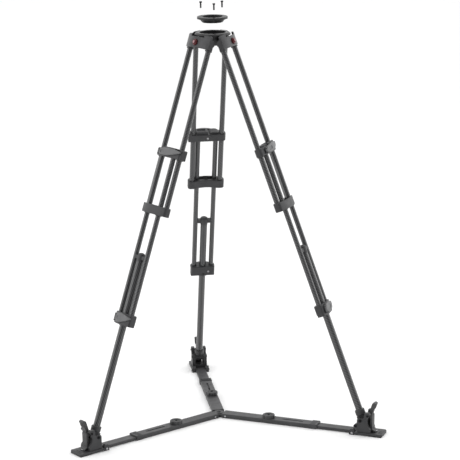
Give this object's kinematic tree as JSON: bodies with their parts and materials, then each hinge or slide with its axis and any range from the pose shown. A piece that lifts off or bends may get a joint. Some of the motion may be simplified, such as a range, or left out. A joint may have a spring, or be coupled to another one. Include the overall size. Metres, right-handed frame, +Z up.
{
  "type": "video tripod",
  "caption": "Twin-tube video tripod with telescoping legs, bowl crown, lifted-off bowl adapter and a ground-level spreader.",
  "frame": {"origin": "on the tripod's vertical axis at floor level, under the spreader hub", "axes": "+Z up along the tripod's axis, +Y towards the back leg, +X to the right seen from the front"},
  "size_m": [1.2052, 1.0446, 1.6275],
  "materials": {
    "crown_black": "satin",
    "pin_steel": "satin",
    "adapter_black": "satin",
    "screw_black": "satin",
    "spreader_black": "satin",
    "shoulder_grey": "satin",
    "cap_red": "satin",
    "carbon": "satin",
    "casting_black": "satin",
    "lever_grey": "satin",
    "foot_black": "matte",
    "arm_black": "satin",
    "plate_black": "matte",
    "knob_black": "matte"
  },
  "bodies": {
    "crown": {"crown_casting": "crown_black", "hinge_pins": "pin_steel"},
    "adapter_ring": {"adapter_ring": "adapter_black"},
    "adapter_screws": {"adapter_screws": "screw_black"},
    "spreader": {"spreader_hub": "spreader_black", "hub_pins": "pin_steel", "spreader_channels": "spreader_black", "channel_collars": "spreader_black"},
    "back_leg": {"back_shoulder": "shoulder_grey", "back_hinge_cap": "cap_red", "back_outer_tubes": "carbon", "back_bridge": "casting_black"},
    "back_middle": {"back_slider_clamp": "casting_black", "back_inner_tubes": "carbon", "back_lower_clamp": "casting_black"},
    "back_upper_lever": {"back_upper_lever": "lever_grey"},
    "back_lower_lever": {"back_lower_lever": "lever_grey"},
    "back_lower": {"back_lower_tube": "carbon", "back_tube_guide": "casting_black", "back_ankle_socket": "casting_black"},
    "back_foot": {"back_foot": "foot_black"},
    "back_foot_latch": {"back_foot_latch": "lever_grey"},
    "back_arm": {"back_spreader_arm": "arm_black", "back_base_plate": "plate_black"},
    "back_knob": {"back_lock_knob": "knob_black"},
    "left_leg": {"left_shoulder": "shoulder_grey", "left_hinge_cap": "cap_red", "left_outer_tubes": "carbon", "left_bridge": "casting_black"},
    "left_middle": {"left_slider_clamp": "casting_black", "left_inner_tubes": "carbon", "left_lower_clamp": "casting_black"},
    "left_upper_lever": {"left_upper_lever": "lever_grey"},
    "left_lower_lever": {"left_lower_lever": "lever_grey"},
    "left_lower": {"left_lower_tube": "carbon", "left_tube_guide": "casting_black", "left_ankle_socket": "casting_black"},
    "left_foot": {"left_foot": "foot_black"},
    "left_foot_latch": {"left_foot_latch": "lever_grey"},
    "left_arm": {"left_spreader_arm": "arm_black", "left_base_plate": "plate_black"},
    "left_knob": {"left_lock_knob": "knob_black"},
    "right_leg": {"right_shoulder": "shoulder_grey", "right_hinge_cap": "cap_red", "right_outer_tubes": "carbon", "right_bridge": "casting_black"},
    "right_middle": {"right_slider_clamp": "casting_black", "right_inner_tubes": "carbon", "right_lower_clamp": "casting_black"},
    "right_upper_lever": {"right_upper_lever": "lever_grey"},
    "right_lower_lever": {"right_lower_lever": "lever_grey"},
    "right_lower": {"right_lower_tube": "carbon", "right_tube_guide": "casting_black", "right_ankle_socket": "casting_black"},
    "right_foot": {"right_foot": "foot_black"},
    "right_foot_latch": {"right_foot_latch": "lever_grey"},
    "right_arm": {"right_spreader_arm": "arm_black", "right_base_plate": "plate_black"},
    "right_knob": {"right_lock_knob": "knob_black"}
  },
  "joints": [
    {"name": "ring_lift_off", "type": "slide", "parent": "crown", "child": "adapter_ring", "axis": [0, 0, 1], "range_m": [-0.051, 0]},
    {"name": "screws_lift_off", "type": "slide", "parent": "adapter_ring", "child": "adapter_screws", "axis": [0, 0, 1], "range_m": [-0.0515, 0]},
    {"name": "spreader_lift_off", "type": "slide", "parent": "crown", "child": "spreader", "axis": [0, 0, 1], "range_m": [-0.706, 0]},
    {"name": "back_leg_fold", "type": "hinge", "parent": "crown", "child": "back_leg", "pos_m": [0, 0.0547, 1.47998], "axis": [1, 0, 0], "range_deg": [-20.17, 0]},
    {"name": "back_middle_slide", "type": "slide", "parent": "back_leg", "child": "back_middle", "axis": [0, 0.3448, -0.9387], "range_m": [-0.36, 0]},
    {"name": "back_lower_slide", "type": "slide", "parent": "back_middle", "child": "back_lower", "axis": [0, 0.3448, -0.9387], "range_m": [-0.36, 0]},
    {"name": "back_upper_lever_turn", "type": "hinge", "parent": "back_middle", "child": "back_upper_lever", "pos_m": [0.0441, 0.22924, 1.086], "axis": [0, 0.3448, -0.9387], "range_deg": [0, 100]},
    {"name": "back_lower_lever_turn", "type": "hinge", "parent": "back_middle", "child": "back_lower_lever", "pos_m": [0.0315, 0.45664, 0.48772], "axis": [0, 0.3448, -0.9387], "range_deg": [0, 100]},
    {"name": "back_ankle", "type": "hinge", "parent": "back_lower", "child": "back_foot", "pos_m": [0, 0.59115, 0.0573], "axis": [1, 0, 0], "range_deg": [0, 20.17]},
    {"name": "back_foot_latch_press", "type": "hinge", "parent": "back_foot", "child": "back_foot_latch", "pos_m": [0, 0.62015, 0.079], "axis": [1, 0, 0], "range_deg": [0, 15], "stiffness_Nm_per_rad": 0.8, "springref_deg": -5.73},
    {"name": "back_arm_telescope", "type": "slide", "parent": "spreader", "child": "back_arm", "axis": [0, 1, 0], "range_m": [-0.126, 0]},
    {"name": "back_knob_turn", "type": "hinge", "parent": "spreader", "child": "back_knob", "pos_m": [0, 0.209, 0.017], "axis": [0, 0, 1], "range_deg": [0, 180]},
    {"name": "left_leg_fold", "type": "hinge", "parent": "crown", "child": "left_leg", "pos_m": [-0.04737, -0.02735, 1.47998], "axis": [-0.5, 0.866, 0], "range_deg": [-20.17, 0]},
    {"name": "left_middle_slide", "type": "slide", "parent": "left_leg", "child": "left_middle", "axis": [-0.2986, -0.1724, -0.9387], "range_m": [-0.36, 0]},
    {"name": "left_lower_slide", "type": "slide", "parent": "left_middle", "child": "left_lower", "axis": [-0.2986, -0.1724, -0.9387], "range_m": [-0.36, 0]},
    {"name": "left_upper_lever_turn", "type": "hinge", "parent": "left_middle", "child": "left_upper_lever", "pos_m": [-0.22057, -0.07643, 1.086], "axis": [-0.2986, -0.1724, -0.9387], "range_deg": [0, 100]},
    {"name": "left_lower_lever_turn", "type": "hinge", "parent": "left_middle", "child": "left_lower_lever", "pos_m": [-0.41121, -0.20104, 0.48772], "axis": [-0.2986, -0.1724, -0.9387], "range_deg": [0, 100]},
    {"name": "left_ankle", "type": "hinge", "parent": "left_lower", "child": "left_foot", "pos_m": [-0.51195, -0.29557, 0.0573], "axis": [-0.5, 0.866, 0], "range_deg": [0, 20.17]},
    {"name": "left_foot_latch_press", "type": "hinge", "parent": "left_foot", "child": "left_foot_latch", "pos_m": [-0.53706, -0.31007, 0.079], "axis": [-0.5, 0.866, 0], "range_deg": [0, 15], "stiffness_Nm_per_rad": 0.8, "springref_deg": -5.73},
    {"name": "left_arm_telescope", "type": "slide", "parent": "spreader", "child": "left_arm", "axis": [-0.866, -0.5, 0], "range_m": [-0.126, 0]},
    {"name": "left_knob_turn", "type": "hinge", "parent": "spreader", "child": "left_knob", "pos_m": [-0.181, -0.1045, 0.017], "axis": [0, 0, 1], "range_deg": [0, 180]},
    {"name": "right_leg_fold", "type": "hinge", "parent": "crown", "child": "right_leg", "pos_m": [0.04737, -0.02735, 1.47998], "axis": [-0.5, -0.866, 0], "range_deg": [-20.17, 0]},
    {"name": "right_middle_slide", "type": "slide", "parent": "right_leg", "child": "right_middle", "axis": [0.2986, -0.1724, -0.9387], "range_m": [-0.36, 0]},
    {"name": "right_lower_slide", "type": "slide", "parent": "right_middle", "child": "right_lower", "axis": [0.2986, -0.1724, -0.9387], "range_m": [-0.36, 0]},
    {"name": "right_upper_lever_turn", "type": "hinge", "parent": "right_middle", "child": "right_upper_lever", "pos_m": [0.17647, -0.15281, 1.086], "axis": [0.2986, -0.1724, -0.9387], "range_deg": [0, 100]},
    {"name": "right_lower_lever_turn", "type": "hinge", "parent": "right_middle", "child": "right_lower_lever", "pos_m": [0.37971, -0.2556, 0.48772], "axis": [0.2986, -0.1724, -0.9387], "range_deg": [0, 100]},
    {"name": "right_ankle", "type": "hinge", "parent": "right_lower", "child": "right_foot", "pos_m": [0.51195, -0.29557, 0.0573], "axis": [-0.5, -0.866, 0], "range_deg": [0, 20.17]},
    {"name": "right_foot_latch_press", "type": "hinge", "parent": "right_foot", "child": "right_foot_latch", "pos_m": [0.53706, -0.31007, 0.079], "axis": [-0.5, -0.866, 0], "range_deg": [0, 15], "stiffness_Nm_per_rad": 0.8, "springref_deg": -5.73},
    {"name": "right_arm_telescope", "type": "slide", "parent": "spreader", "child": "right_arm", "axis": [0.866, -0.5, 0], "range_m": [-0.126, 0]},
    {"name": "right_knob_turn", "type": "hinge", "parent": "spreader", "child": "right_knob", "pos_m": [0.181, -0.1045, 0.017], "axis": [0, 0, 1], "range_deg": [0, 180]}
  ],
  "couplings": [
    {"joint": "back_ankle", "follows": "back_leg_fold", "ratio": -1},
    {"joint": "back_arm_telescope", "follows": "back_leg_fold", "m_per_rad": 0.355},
    {"joint": "left_leg_fold", "follows": "back_leg_fold", "ratio": 1},
    {"joint": "left_ankle", "follows": "back_leg_fold", "ratio": -1},
    {"joint": "left_arm_telescope", "follows": "back_leg_fold", "m_per_rad": 0.355},
    {"joint": "right_leg_fold", "follows": "back_leg_fold", "ratio": 1},
    {"joint": "right_ankle", "follows": "back_leg_fold", "ratio": -1},
    {"joint": "right_arm_telescope", "follows": "back_leg_fold", "m_per_rad": 0.355},
    {"joint": "spreader_lift_off", "follows": "back_leg_fold", "m_per_rad": 2}
  ]
}
